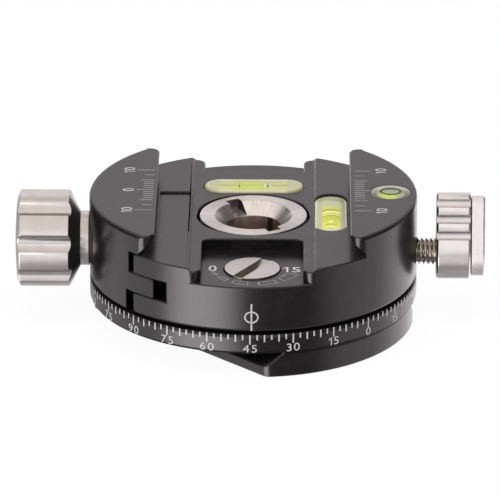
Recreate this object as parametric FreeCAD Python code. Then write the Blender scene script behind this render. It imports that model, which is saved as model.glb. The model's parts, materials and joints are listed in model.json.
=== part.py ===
import FreeCAD
import Part
import math
import os

from FreeCAD import Vector as V

# Panoramic tripod head with a dovetail plate clamp on top.
# Millimetres. Origin on the pan axis, in the plane of the foot.
# +Z is up, X is the clamp screw's axis (the moving jaw is at -X), -Y is the front.

# ---- running and seating clearances -------------------------------------------------
RUN_FIT = 0.05          # radial, shaft in its bore
SLIDE_FIT = 0.05        # between flat sliding faces
POCKET_FIT = 0.05       # vial in its pocket, all round
SEAT_GAP = 0.02         # between faces that rest on each other and turn

# ---- the head's outside -------------------------------------------------------------
HEAD_R = 30.0
PAN_GAP = 0.5           # shadow gap between the scale ring and the clamp body
RIM_CHAMFER = 0.4

# ---- foot: dovetail rail and scale ring ---------------------------------------------
RAIL_HALF = 19.0        # 38 mm dovetail standard
RAIL_LIP = 2.0
RAIL_RISE = 2.65        # 45 degree flank
RAIL_SETBACK = 0.5      # the rail ends inside the scale ring's rim
RAIL_CORNER_R = 2.0
RAIL_ANGLE = 135.0
RING_H = 3.85

# ---- hub and its hollow spindle -----------------------------------------------------
HUB_R = 8.5
HUB_TOP_GAP = 0.05
HUB_WALL = 1.6
HUB_WEB = 2.6           # metal between the tripod bushing and the spindle
SPINDLE_FLOOR = 0.8
FLANGE_OVERHANG = 1.3   # of the spindle's flange over the hub
FLANGE_H = 2.4
FLANGE_RING_GAP = 0.5
CONE_TOP_R = 7.1
WELL_R = 5.0
TOOL_SLOT_W = 2.5       # as deep as the cone
TOOL_SLOT_OVERRUN = 1.4 # past the cone, at each end
TOOL_SLOT_ANGLE = 118.0

# ---- tripod thread, 3/8-16 UNC ------------------------------------------------------
THREAD_MINOR_R = 3.97
BUSHING_R = 6.0
BUSHING_LEN = 9.5

# ---- bearings -----------------------------------------------------------------------
GLIDE_IN_R = 12.0
GLIDE_OUT_R = 16.5
THRUST_H = 0.5

# ---- clamp body ---------------------------------------------------------------------
SEAT_H = 11.4           # plate seat above the body's underside
SEAT_TO_TOP = 3.9       # jaw height above the plate seat
LIP_HALF = 17.65
LIP_H = 0.8
UNDERCUT = 2.7
RELIEF_HALF = 11.0
RELIEF_DEPTH = 0.6
JAW_TIP_R = 1.8

POCKET_HALF = 9.2
POCKET_DEPTH = 2.15     # below the relief floor
POCKET_BEHIND_DIAL = 4.35
NOTCH_LEN = 9.8         # rear notch, inwards from the rim
NOTCH_DEPTH = 1.8       # below the relief floor
POCKET_CORNER_R = 2.0
POCKET_EDGE_R = 1.6

LABEL_SETBACK = 0.75    # from the relief channel's edge
LABEL_W = 5.45
LABEL_HALF = 10.0
LABEL_DEPTH = 0.4
LABEL_CORNER_R = 0.6

# ---- interlocking fingers of body and moving jaw ------------------------------------
FINGER_SETBACK = 8.6    # finger tips, inwards from the rim
JAW_GAP_UPPER = 0.8     # jaw to upper finger tip, along X
JAW_GAP_LOWER = 1.3
SLOT_BOTTOM = 3.9       # above the body's underside
SLOT_H = 3.8
SLOT_DEPTH = 6.0
TONGUE_GAP = 2.3        # tongue tip to the slot's end

# ---- clamp screw M6 x 1, its knob, pins and springs ---------------------------------
SCREW_R = 3.0
SCREW_H = 6.1           # screw axis above the body's underside
SCREW_GRIP = 7.9        # thread length in the body
SCREW_BORE_SPARE = 1.9
JAW_BORE_PLAY = 0.3
SPOT_FACE_DEPTH = 0.5
SPOT_FACE_R = 5.3
WASHER_H = 0.5
WASHER_R = 4.6

KNOB_R = 8.87
KNOB_LEN = 9.85
KNOB_CONE = 1.97
KNOB_COLLAR_R = 5.0
KNOB_COLLAR = 1.63
KNOB_BEVEL = 0.88       # the bevelled rim starts this far from the end
KNOB_CROWN = 0.27       # height of the end's shallow crown
KNOB_CROWN_R = 7.3
KNOB_FLAT_R = 3.5
KNOB_SCREW_DEPTH = 9.0
FLUTES = 8
FLUTE_R = 1.9
FLUTE_DEPTH = 0.95
FLUTE_START = 14.0

PIN_R = 1.25
PIN_Y = 12.0
PIN_COVER = 4.5         # jaw metal left outside the pins' blind ends
PIN_GUIDE = 5.8         # pin length inside the body
PIN_BORE_SPARE = 1.2
SPRING_WIRE = 0.4
SPRING_PLAY = 0.15
SPRING_SEAT_DEPTH = 4.0
SPRING_TURNS = 3
COIL_RUNS = 10          # straight runs in one turn of a spring

# ---- pan lock: M5 x 0.8 screw, brake shoe and wing knob ------------------------------
LOCK_R = 2.5
LOCK_H = 3.85           # lock axis above the body's underside
SHOE_GAP = 0.25
SHOE_LEN = 3.4
WING_STANDOFF = 3.5     # bare thread between the rim and the wing knob
WING_LEN = 6.3
WING_HUB_R = 5.05
WING_TIP_R = 2.0
WING_REACH = 9.4
WING_CHAMFER = 0.35
WING_SCREW_DEPTH = 4.5
RIB_PITCH = 3.0
RIB_COUNT = 3
RIB_GROOVE_W = 1.55
RIB_GROOVE_DEPTH = 0.5
CAP_GAP = 0.15
CAP_NECK_INSET = 1.1
CAP_LEN = 2.45
CAP_INSET = 0.6
CAP_CHAMFER = 0.3

# ---- detent: dial, spring, ball and notches -----------------------------------------
DETENT_SETBACK = 8.8    # ball and dial, inwards from the rim
DETENTS = 24
BALL_R = 1.5
CLICK_HALF = 1.15
CLICK_LEN = 3.6
CLICK_FLANK = 60.0      # flank to the pan axis, in degrees
DIAL_R = 5.0
DIAL_H = 2.0
DIAL_PROUD = 0.3
DIAL_SLOT_W = 1.9
DIAL_SLOT_DEPTH = 1.1   # in the middle of the saw cut
DIAL_SAW_R = 14.0
DIAL_SLOT_ANGLE = 58.5
DETENT_WIRE = 0.4
DETENT_TURNS = 3

# ---- levels -------------------------------------------------------------------------
VIAL_W = 6.0
VIAL_LEN = 18.35
VIAL_H = 3.4
VIAL_TUBE_R = 1.6
VIAL_WALL_TOP = 0.5
SIDE_VIAL_SETBACK = 0.2 # from the relief channel's edge
SIDE_VIAL_SUNK = 0.5
BRIDGE_VIAL_GAP = 1.2   # from the spindle's flange
BRIDGE_VIAL_PROUD = 0.5
EYE_SETBACK = 4.9       # round level, inwards from the rim
EYE_R = 3.8
EYE_H = 3.4
EYE_WALL = 0.55
EYE_TOP = 0.6

# ---- places, from the sizes above ---------------------------------------------------
RAIL_END_R = HEAD_R - RAIL_SETBACK
SPINDLE_R = HUB_R - HUB_WALL
SPINDLE_SEAT = BUSHING_LEN + HUB_WEB
FLANGE_R = HUB_R + FLANGE_OVERHANG
DETENT_R = HEAD_R - DETENT_SETBACK
EYE_X = HEAD_R - EYE_SETBACK
FINGER_END = HEAD_R - FINGER_SETBACK
JAW_FACE_UPPER = FINGER_END + JAW_GAP_UPPER
JAW_FACE_LOWER = FINGER_END + JAW_GAP_LOWER
SLOT_END = FINGER_END - SLOT_DEPTH
TONGUE_END = SLOT_END + TONGUE_GAP
SCREW_TIP = FINGER_END - SCREW_GRIP
SCREW_BORE_END = SCREW_TIP - SCREW_BORE_SPARE
PIN_OUT = HEAD_R - PIN_COVER
PIN_IN = SLOT_END - PIN_GUIDE
PIN_BORE_END = PIN_IN - PIN_BORE_SPARE
SPRING_SEAT = SLOT_END - SPRING_SEAT_DEPTH
SPOT_FACE_X = HEAD_R - SPOT_FACE_DEPTH
WING_START = HEAD_R + WING_STANDOFF
SIDE_VIAL_X = RELIEF_HALF + SIDE_VIAL_SETBACK + VIAL_W / 2
BRIDGE_VIAL_Y = FLANGE_R + BRIDGE_VIAL_GAP + VIAL_W / 2
POCKET_BACK = DETENT_R - DIAL_R - POCKET_BEHIND_DIAL
NOTCH_START = HEAD_R - NOTCH_LEN
LABEL_IN = RELIEF_HALF + LABEL_SETBACK
LABEL_OUT = LABEL_IN + LABEL_W

RING_BOTTOM = RAIL_LIP + RAIL_RISE
RING_TOP = RING_BOTTOM + RING_H
BODY_BOTTOM = RING_TOP + PAN_GAP
SEAT = BODY_BOTTOM + SEAT_H
TOP = SEAT + SEAT_TO_TOP
RELIEF = SEAT - RELIEF_DEPTH
POCKET = RELIEF - POCKET_DEPTH
NOTCH = RELIEF - NOTCH_DEPTH
FLANGE_SEAT = RELIEF - FLANGE_H
LEDGE = FLANGE_SEAT - SEAT_GAP - THRUST_H
HUB_TOP = FLANGE_SEAT - HUB_TOP_GAP
SLOT_LOW = BODY_BOTTOM + SLOT_BOTTOM
SLOT_HIGH = SLOT_LOW + SLOT_H
SCREW_Z = BODY_BOTTOM + SCREW_H
LOCK_Z = BODY_BOTTOM + LOCK_H
PIN_Z = (SLOT_LOW + SLOT_HIGH) / 2
UNDERCUT_X = LIP_HALF + UNDERCUT
UNDERCUT_Z = TOP - LIP_H - UNDERCUT
KNOB_FACE = SPOT_FACE_X + WASHER_H
KNOB_END = KNOB_FACE + KNOB_COLLAR + KNOB_CONE + KNOB_LEN
BIG = 4 * HEAD_R

os.makedirs("parts", exist_ok=True)


# ---- helpers --------------------------------------------------------------------------
def cylinder(radius, low, high, x=0.0, y=0.0):
    return Part.makeCylinder(radius, high - low, V(x, y, low))


def cylinder_x(radius, x_from, x_to, y, z):
    """A cylinder along X between two places."""
    return Part.makeCylinder(radius, x_to - x_from, V(x_from, y, z), V(1, 0, 0))


def block(x, y, z):
    """A box from (low, high) pairs."""
    corner = V(x[0], y[0], z[0])
    return Part.makeBox(x[1] - x[0], y[1] - y[0], z[1] - z[0], corner)


def wire_of(points):
    return Part.makePolygon(points + [points[0]])


def along_y(outline, half):
    """Extrude an (x, z) outline from y = -half to y = half."""
    face = Part.Face(wire_of([V(x, -half, z) for x, z in outline]))
    return face.extrude(V(0, 2 * half, 0))


def turned(outline):
    """Revolve an (r, z) outline about the pan axis."""
    face = Part.Face(wire_of([V(r, 0, z) for r, z in outline]))
    return face.revolve(V(0, 0, 0), V(0, 0, 1), 360)


def chamfered_disc(radius, low, high, chamfer_low, chamfer_high):
    """A disc about the pan axis with broken edges."""
    return turned([
        (0, low), (radius - chamfer_low, low), (radius, low + chamfer_low),
        (radius, high - chamfer_high), (radius - chamfer_high, high), (0, high)])


def stadium(length, width, low, high, x, y, along):
    """An upright prism with round ends, along "x" or "y"."""
    half = (length - width) / 2
    step = V(half, 0, 0) if along == "x" else V(0, half, 0)
    side = V(width / 2, 0, 0) if along == "y" else V(0, width / 2, 0)
    centre = V(x, y, low)
    middle = block((-side.x - step.x, side.x + step.x),
                   (-side.y - step.y, side.y + step.y), (0, high - low))
    middle.translate(centre)
    ends = [Part.makeCylinder(width / 2, high - low, centre + sign * step) for sign in (-1, 1)]
    return middle.fuse(ends).removeSplitter()


def rounded_block(x, y, low, high, radius):
    """A box whose four upright edges are rounded."""
    box = block(x, y, (low, high))
    upright = [e for e in box.Edges if abs(e.BoundBox.ZLength - (high - low)) < 1e-6]
    return box.makeFillet(radius, upright)


def corner_cutter(wall, rim_r, radius, low, high):
    """What rounding removes where the wall x = wall meets the rim, at +y.

    The metal lies at x > wall, inside the rim.
    """
    reach = rim_r - radius
    centre_x = wall + radius
    centre_y = math.sqrt(reach ** 2 - centre_x ** 2)
    on_rim = V(centre_x, centre_y, 0) * (rim_r / reach)
    corner_y = (rim_r ** 2 - on_rim.x * wall) / on_rim.y
    outline = [V(centre_x, centre_y, low), V(wall, centre_y, low),
               V(wall, corner_y, low), V(on_rim.x, on_rim.y, low)]
    wedge = Part.Face(wire_of(outline)).extrude(V(0, 0, high - low))
    return wedge.cut(cylinder(radius, low, high, centre_x, centre_y))


def mirrored(shape, across):
    """The shape mirrored in the plane whose normal is the given axis."""
    return shape.mirror(V(0, 0, 0), across)


def both_sides(shape, across):
    return [shape, mirrored(shape, across)]


def all_corners(shape):
    """The shape in all four quadrants."""
    pair = both_sides(shape, V(1, 0, 0))
    return pair + [mirrored(s, V(0, 1, 0)) for s in pair]


def coil(base, axis, length, mean_r, wire, turns):
    """A spring of square wire that fills the given length, in short straight runs."""
    inner, outer = mean_r - wire / 2, mean_r + wire / 2
    steps = turns * COIL_RUNS
    sections = []
    for step in range(steps + 1):
        angle = 2 * math.pi * step / COIL_RUNS
        out = V(math.cos(angle), math.sin(angle), 0)
        low = V(0, 0, (length - wire) * step / steps)
        high = low + V(0, 0, wire)
        sections.append(wire_of([out * inner + low, out * outer + low,
                                 out * outer + high, out * inner + high]))
    spring = Part.makeLoft(sections, True, True)
    spring.Placement = FreeCAD.Placement(base, FreeCAD.Rotation(V(0, 0, 1), axis))
    return spring


def save(name, shape):
    """Write one node: one solid, or a group of separate solids."""
    solids = shape.Solids
    whole = solids[0] if len(solids) == 1 else Part.makeCompound(solids)
    if not whole.isValid() or not solids:
        raise ValueError(name + " isn't a valid solid")
    whole.exportStep("parts/" + name + ".step")


# ---- foot -------------------------------------------------------------------------------
def dovetail_rail():
    neck = RAIL_HALF - RAIL_RISE
    half = [(neck, RING_BOTTOM), (RAIL_HALF, RAIL_LIP), (RAIL_HALF, 0)]
    other = [(-w, z) for w, z in reversed(half)]
    rail = along_y(half + other, HEAD_R).common(cylinder(RAIL_END_R, 0, RING_BOTTOM))
    inward = corner_cutter(-RAIL_HALF, RAIL_END_R, RAIL_CORNER_R, 0, RING_BOTTOM)
    rail = rail.cut(all_corners(inward))
    rail.rotate(V(0, 0, 0), V(0, 0, 1), RAIL_ANGLE - 90)
    return rail


def click_depth():
    return CLICK_HALF / math.tan(math.radians(CLICK_FLANK))


def click_notch(index):
    """One radial V notch of the click-stop track."""
    low = V(DETENT_R - CLICK_LEN / 2, 0, RING_TOP - click_depth())
    rim = V(0, CLICK_HALF, click_depth())
    other = V(0, -CLICK_HALF, click_depth())
    notch = Part.Face(wire_of([low, low + rim, low + other])).extrude(V(CLICK_LEN, 0, 0))
    notch.rotate(V(0, 0, 0), V(0, 0, 1), -90 + index * 360 / DETENTS)
    return notch


def pan_base():
    ring = chamfered_disc(HEAD_R, RING_BOTTOM, RING_TOP, RIM_CHAMFER, RIM_CHAMFER)
    hub = cylinder(HUB_R, RING_BOTTOM, HUB_TOP)
    base = dovetail_rail().fuse([ring, hub]).removeSplitter()
    base = base.cut([cylinder(BUSHING_R, 0, BUSHING_LEN),
                     cylinder(SPINDLE_R, SPINDLE_SEAT, HUB_TOP)])
    return base.cut([click_notch(i) for i in range(DETENTS)])


def tripod_bushing():
    return cylinder(BUSHING_R, 0, BUSHING_LEN).cut(cylinder(THREAD_MINOR_R, 0, BUSHING_LEN))


def spindle():
    cone_bottom = RELIEF - (CONE_TOP_R - WELL_R)
    body = turned([
        (0, SPINDLE_SEAT), (SPINDLE_R, SPINDLE_SEAT), (SPINDLE_R, FLANGE_SEAT),
        (FLANGE_R, FLANGE_SEAT), (FLANGE_R, RELIEF), (CONE_TOP_R, RELIEF),
        (WELL_R, cone_bottom), (WELL_R, SPINDLE_SEAT + SPINDLE_FLOOR),
        (0, SPINDLE_SEAT + SPINDLE_FLOOR)])
    reach = CONE_TOP_R + TOOL_SLOT_OVERRUN
    slot = block((-reach, reach), (-TOOL_SLOT_W / 2, TOOL_SLOT_W / 2), (cone_bottom, TOP))
    slot.rotate(V(0, 0, 0), V(0, 0, 1), TOOL_SLOT_ANGLE)
    return body.cut(slot)


def glide_ring():
    top = BODY_BOTTOM - SEAT_GAP
    return cylinder(GLIDE_OUT_R, RING_TOP, top).cut(cylinder(GLIDE_IN_R, RING_TOP, top))


# ---- clamp body --------------------------------------------------------------------------
def body_section():
    """The (x, z) section of the fixed jaw, the plate seat and the two fingers."""
    slope = RELIEF_HALF + RELIEF_DEPTH
    return [
        (HEAD_R, BODY_BOTTOM), (HEAD_R, TOP), (LIP_HALF, TOP), (LIP_HALF, TOP - LIP_H),
        (UNDERCUT_X, UNDERCUT_Z), (UNDERCUT_X, SEAT), (slope, SEAT), (RELIEF_HALF, RELIEF),
        (-RELIEF_HALF, RELIEF), (-slope, SEAT), (-FINGER_END, SEAT),
        (-FINGER_END, SLOT_HIGH), (-SLOT_END, SLOT_HIGH), (-SLOT_END, SLOT_LOW),
        (-FINGER_END, SLOT_LOW), (-FINGER_END, BODY_BOTTOM)]


def head_blank():
    return chamfered_disc(HEAD_R, BODY_BOTTOM, TOP, RIM_CHAMFER, RIM_CHAMFER)


def lip_corners():
    """Rounding of the fixed jaw's two tips, +x side."""
    tip = corner_cutter(LIP_HALF, HEAD_R, JAW_TIP_R, SEAT, TOP)
    return both_sides(tip, V(0, 1, 0))


def pockets():
    """The dial's open pocket in front and the notch at the back."""
    sides = (-POCKET_HALF, POCKET_HALF)
    front = rounded_block(sides, (-BIG, -POCKET_BACK), POCKET, BIG, POCKET_CORNER_R)
    rear = rounded_block(sides, (NOTCH_START, BIG), NOTCH, BIG, POCKET_CORNER_R)
    front_edge = mirrored(mouth_edge(POCKET), V(0, 1, 0))
    edges = both_sides(front_edge, V(1, 0, 0)) + both_sides(mouth_edge(NOTCH), V(1, 0, 0))
    return [front, rear] + edges


def mouth_edge(floor):
    """What rounding removes where a pocket's wall meets the rim, at +x and +y."""
    return corner_cutter(POCKET_HALF, HEAD_R, POCKET_EDGE_R, floor, RELIEF)


def vial_pocket(x, y, top, along):
    return stadium(VIAL_LEN + 2 * POCKET_FIT, VIAL_W + 2 * POCKET_FIT, top - VIAL_H, BIG,
                   x, y, along)


def level_pockets():
    side_top = SEAT - SIDE_VIAL_SUNK
    bridge_top = RELIEF + BRIDGE_VIAL_PROUD
    return [
        vial_pocket(SIDE_VIAL_X, 0, side_top, "y"),
        vial_pocket(0, BRIDGE_VIAL_Y, bridge_top, "x"),
        cylinder(EYE_R + POCKET_FIT, TOP - EYE_H, TOP, EYE_X, 0)]


def label_pocket():
    return rounded_block((-LABEL_OUT, -LABEL_IN), (-LABEL_HALF, LABEL_HALF),
                         SEAT - LABEL_DEPTH, BIG, LABEL_CORNER_R)


def hub_bores():
    return [cylinder(HUB_R + RUN_FIT, BODY_BOTTOM, LEDGE),
            cylinder(FLANGE_R + FLANGE_RING_GAP, LEDGE, BIG)]


def dial_bores():
    dial_bottom = POCKET + DIAL_PROUD - DIAL_H
    return [cylinder(DIAL_R + RUN_FIT, dial_bottom - SEAT_GAP, BIG, 0, -DETENT_R),
            cylinder(BALL_R + RUN_FIT, BODY_BOTTOM, dial_bottom, 0, -DETENT_R)]


def cross_bores():
    """Threaded bores of the clamp and lock screws, and the guide pins' bores."""
    bores = [cylinder_x(SCREW_R + RUN_FIT, -HEAD_R, -SCREW_BORE_END, 0, SCREW_Z),
             cylinder_x(LOCK_R + RUN_FIT, 0, HEAD_R, 0, LOCK_Z)]
    for y in (-PIN_Y, PIN_Y):
        bores.append(cylinder_x(PIN_R + RUN_FIT, -HEAD_R, -PIN_BORE_END, y, PIN_Z))
        bores.append(cylinder_x(spring_outer_r() + SPRING_PLAY, -SLOT_END, -SPRING_SEAT, y, PIN_Z))
    return bores


def clamp_body():
    body = head_blank().common(along_y(body_section(), HEAD_R))
    body = body.cut(lip_corners() + pockets())
    body = body.cut(level_pockets() + [label_pocket()])
    return body.cut(hub_bores() + dial_bores() + cross_bores())


def thrust_washer():
    high = LEDGE + THRUST_H
    ring = cylinder(FLANGE_R - RUN_FIT, LEDGE, high)
    return ring.cut(cylinder(HUB_R + RUN_FIT, LEDGE, high))


# ---- moving jaw ---------------------------------------------------------------------------
def jaw_section():
    """The (x, z) section of the moving jaw and its tongue."""
    above_seat = SEAT + SLIDE_FIT
    return [
        (-HEAD_R, BODY_BOTTOM), (-HEAD_R, TOP), (-LIP_HALF, TOP), (-LIP_HALF, TOP - LIP_H),
        (-UNDERCUT_X, UNDERCUT_Z), (-UNDERCUT_X, above_seat), (-JAW_FACE_UPPER, above_seat),
        (-JAW_FACE_UPPER, SLOT_HIGH - SLIDE_FIT), (-TONGUE_END, SLOT_HIGH - SLIDE_FIT),
        (-TONGUE_END, SLOT_LOW + SLIDE_FIT), (-JAW_FACE_LOWER, SLOT_LOW + SLIDE_FIT),
        (-JAW_FACE_LOWER, BODY_BOTTOM)]


def moving_jaw():
    jaw = head_blank().common(along_y(jaw_section(), HEAD_R))
    tips = [mirrored(tip, V(1, 0, 0)) for tip in lip_corners()]
    spot = cylinder_x(SPOT_FACE_R, -BIG, -SPOT_FACE_X, 0, SCREW_Z)
    screw_hole = cylinder_x(SCREW_R + JAW_BORE_PLAY, -BIG, 0, 0, SCREW_Z)
    pins = [cylinder_x(PIN_R, -PIN_OUT, 0, y, PIN_Z) for y in (-PIN_Y, PIN_Y)]
    return jaw.cut(tips + [spot, screw_hole] + pins)


def guide_pins():
    pins = [cylinder_x(PIN_R, -PIN_OUT, -PIN_IN, y, PIN_Z) for y in (-PIN_Y, PIN_Y)]
    return Part.makeCompound(pins)


def spring_mean_r():
    return PIN_R + SPRING_PLAY + SPRING_WIRE / 2


def spring_outer_r():
    return spring_mean_r() + SPRING_WIRE / 2


def jaw_springs():
    """The two springs on the pins that push the jaw open."""
    springs = []
    for y in (-PIN_Y, PIN_Y):
        springs.append(coil(V(-TONGUE_END, y, PIN_Z), V(1, 0, 0), TONGUE_END - SPRING_SEAT,
                            spring_mean_r(), SPRING_WIRE, SPRING_TURNS))
    return Part.makeCompound(springs)


# ---- clamp knob -----------------------------------------------------------------------------
def knob_outline():
    """The knob's (distance from the pan axis, radius) outline, from its end to its collar."""
    shoulder = KNOB_FACE + KNOB_COLLAR
    grip = shoulder + KNOB_CONE
    return [(KNOB_END, 0), (KNOB_END, KNOB_FLAT_R), (KNOB_END - KNOB_CROWN, KNOB_CROWN_R),
            (KNOB_END - KNOB_BEVEL, KNOB_R), (grip, KNOB_R), (shoulder, KNOB_COLLAR_R),
            (KNOB_FACE, KNOB_COLLAR_R), (KNOB_FACE, 0)]


def flute(index):
    angle = math.radians(FLUTE_START + index * 360 / FLUTES)
    reach = KNOB_R - FLUTE_DEPTH + FLUTE_R
    return cylinder_x(FLUTE_R, -BIG, -KNOB_FACE, -reach * math.cos(angle),
                      SCREW_Z + reach * math.sin(angle))


def knob_screw_end():
    """How far the screw reaches into the knob, from the pan axis."""
    return KNOB_FACE + KNOB_SCREW_DEPTH


def clamp_knob():
    outline = wire_of([V(-x, 0, SCREW_Z + r) for x, r in knob_outline()])
    knob = Part.Face(outline).revolve(V(0, 0, SCREW_Z), V(1, 0, 0), 360)
    knob = knob.cut([flute(i) for i in range(FLUTES)])
    return knob.cut(cylinder_x(SCREW_R, -knob_screw_end(), 0, 0, SCREW_Z))


def clamp_screw():
    return cylinder_x(SCREW_R, -knob_screw_end(), -SCREW_TIP, 0, SCREW_Z)


def knob_washer():
    ring = cylinder_x(WASHER_R, -KNOB_FACE, -SPOT_FACE_X, 0, SCREW_Z)
    return ring.cut(cylinder_x(SCREW_R, -KNOB_FACE, -SPOT_FACE_X, 0, SCREW_Z))


# ---- pan lock ---------------------------------------------------------------------------------
def wing_outline(inset):
    """The wing's section in the plane x = 0: hub and tip circles with tangent sides."""
    hub = WING_HUB_R - inset
    tip = WING_TIP_R - inset
    lean = math.asin((hub - tip) / WING_REACH)
    side = V(0, -math.cos(lean), math.sin(lean))
    other = V(0, math.cos(lean), math.sin(lean))
    axis = V(0, 0, LOCK_Z)
    end = V(0, 0, LOCK_Z + WING_REACH)
    return Part.Wire([
        Part.Arc(axis + side * hub, axis - V(0, 0, hub), axis + other * hub).toShape(),
        Part.LineSegment(axis + other * hub, end + other * tip).toShape(),
        Part.Arc(end + other * tip, end + V(0, 0, tip), end + side * tip).toShape(),
        Part.LineSegment(end + side * tip, axis + side * hub).toShape()])


def wing_slab(inset, x_from, x_to, chamfer_from, chamfer_to):
    """The wing's outline between two places, with broken end edges."""
    face = Part.Face(wing_outline(inset))
    slab = face.extrude(V(x_to - x_from, 0, 0))
    slab.translate(V(x_from, 0, 0))
    for place, chamfer in ((x_from, chamfer_from), (x_to, chamfer_to)):
        if chamfer:
            rim = [e for e in slab.Edges
                   if e.BoundBox.XLength < 1e-6 and abs(e.BoundBox.XMin - place) < 1e-6]
            slab = slab.makeChamfer(chamfer, rim)
    return slab


def rib_groove(step):
    """One round finger groove across the front side of the wing."""
    lean = math.asin((WING_HUB_R - WING_TIP_R) / WING_REACH)
    radius = (RIB_GROOVE_W ** 2 / 4 + RIB_GROOVE_DEPTH ** 2) / (2 * RIB_GROOVE_DEPTH)
    groove = cylinder_x(radius, -BIG, BIG, -(WING_HUB_R - RIB_GROOVE_DEPTH + radius),
                        step * RIB_PITCH)
    groove.rotate(V(0, 0, 0), V(1, 0, 0), -math.degrees(lean))
    groove.translate(V(0, 0, LOCK_Z))
    return groove


def wing_end():
    return WING_START + WING_LEN


def pan_lock_knob():
    knob = wing_slab(0, WING_START, wing_end(), WING_CHAMFER, WING_CHAMFER)
    grooves = []
    for step in range(1, RIB_COUNT + 1):
        grooves += both_sides(rib_groove(step), V(0, 1, 0))
    hole = cylinder_x(LOCK_R, 0, WING_START + WING_SCREW_DEPTH, 0, LOCK_Z)
    return knob.cut(grooves + [hole])


def pan_lock_cap():
    neck = wing_slab(CAP_NECK_INSET, wing_end(), wing_end() + CAP_GAP, 0, 0)
    start = wing_end() + CAP_GAP
    cap = wing_slab(CAP_INSET, start, start + CAP_LEN, 0, CAP_CHAMFER)
    return neck.fuse(cap).removeSplitter()


def shoe_tip():
    return HUB_R + SHOE_GAP


def pan_lock_screw():
    start = shoe_tip() + SHOE_LEN
    return cylinder_x(LOCK_R, start, WING_START + WING_SCREW_DEPTH, 0, LOCK_Z)


def brake_shoe():
    """A slug whose inner end fits the hub's curve."""
    slug = cylinder_x(LOCK_R, 0, shoe_tip() + SHOE_LEN, 0, LOCK_Z)
    return slug.cut(cylinder(shoe_tip(), 0, TOP))


# ---- detent ------------------------------------------------------------------------------------
def selector_dial():
    top = POCKET + DIAL_PROUD
    dial = cylinder(DIAL_R, top - DIAL_H, top, 0, -DETENT_R)
    saw_axis = V(0, -DIAL_SLOT_W / 2, top - DIAL_SLOT_DEPTH + DIAL_SAW_R)
    slot = Part.makeCylinder(DIAL_SAW_R, DIAL_SLOT_W, saw_axis, V(0, 1, 0))
    slot.rotate(V(0, 0, 0), V(0, 0, 1), DIAL_SLOT_ANGLE)
    slot.translate(V(0, -DETENT_R, 0))
    return dial.cut(slot)


def ball_centre_z():
    """The ball rests on its notch's flanks."""
    above_bottom = BALL_R / math.sin(math.radians(CLICK_FLANK))
    return RING_TOP - click_depth() + above_bottom + SEAT_GAP


def detent_ball():
    return Part.makeSphere(BALL_R, V(0, -DETENT_R, ball_centre_z()))


def detent_spring():
    low = ball_centre_z() + BALL_R + SEAT_GAP
    high = POCKET + DIAL_PROUD - DIAL_H - SEAT_GAP
    mean = BALL_R - DETENT_WIRE / 2 - SPRING_PLAY
    return coil(V(0, -DETENT_R, low), V(0, 0, 1), high - low, mean, DETENT_WIRE, DETENT_TURNS)


# ---- levels ---------------------------------------------------------------------------------------
def vial_fluid(x, y, top, along):
    """The liquid in a tube vial: a trough with a barrel roof."""
    length = VIAL_LEN - VIAL_W + 2 * VIAL_TUBE_R
    low = top - VIAL_H
    roof = top - VIAL_WALL_TOP - VIAL_TUBE_R
    run = V(length, 0, 0) if along == "x" else V(0, length, 0)
    side = V(0, VIAL_TUBE_R, 0) if along == "x" else V(VIAL_TUBE_R, 0, 0)
    start = V(x, y, low) - run / 2
    floor = Part.Face(wire_of([start - side, start + side, start + side + run,
                               start - side + run]))
    trough = floor.extrude(V(0, 0, roof - low))
    barrel = Part.makeCylinder(VIAL_TUBE_R, length, V(start.x, start.y, roof), run)
    above = block((-BIG, BIG), (-BIG, BIG), (low, BIG))
    return trough.fuse(barrel).common(above).removeSplitter()


def vial(x, y, top, along):
    return stadium(VIAL_LEN, VIAL_W, top - VIAL_H, top, x, y, along).cut(
        vial_fluid(x, y, top, along))


def eye_fluid():
    """The liquid under the round level's glass."""
    return cylinder(EYE_R - EYE_WALL, TOP - EYE_H, TOP - EYE_TOP, EYE_X, 0)


def eye_vial():
    return cylinder(EYE_R, TOP - EYE_H, TOP, EYE_X, 0).cut(eye_fluid())


# ---- every piece -------------------------------------------------------------------------------------
def build():
    side = (SIDE_VIAL_X, 0, SEAT - SIDE_VIAL_SUNK, "y")
    bridge = (0, BRIDGE_VIAL_Y, RELIEF + BRIDGE_VIAL_PROUD, "x")
    save("pan_base", pan_base())
    save("tripod_bushing", tripod_bushing())
    save("spindle", spindle())
    save("glide_ring", glide_ring())
    save("clamp_body", clamp_body())
    save("thrust_washer", thrust_washer())
    save("side_level_vial", vial(*side))
    save("side_level_fluid", vial_fluid(*side))
    save("bridge_level_vial", vial(*bridge))
    save("bridge_level_fluid", vial_fluid(*bridge))
    save("round_level_vial", eye_vial())
    save("round_level_fluid", eye_fluid())
    save("moving_jaw", moving_jaw())
    save("guide_pins", guide_pins())
    save("jaw_springs", jaw_springs())
    save("clamp_knob", clamp_knob())
    save("clamp_screw", clamp_screw())
    save("knob_washer", knob_washer())
    save("pan_lock_knob", pan_lock_knob())
    save("pan_lock_cap", pan_lock_cap())
    save("pan_lock_screw", pan_lock_screw())
    save("brake_shoe", brake_shoe())
    save("selector_dial", selector_dial())
    save("detent_spring", detent_spring())
    save("detent_ball", detent_ball())


build()
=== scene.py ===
import json
import math

import bmesh
import bpy
from mathutils import Matrix, Vector

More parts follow.
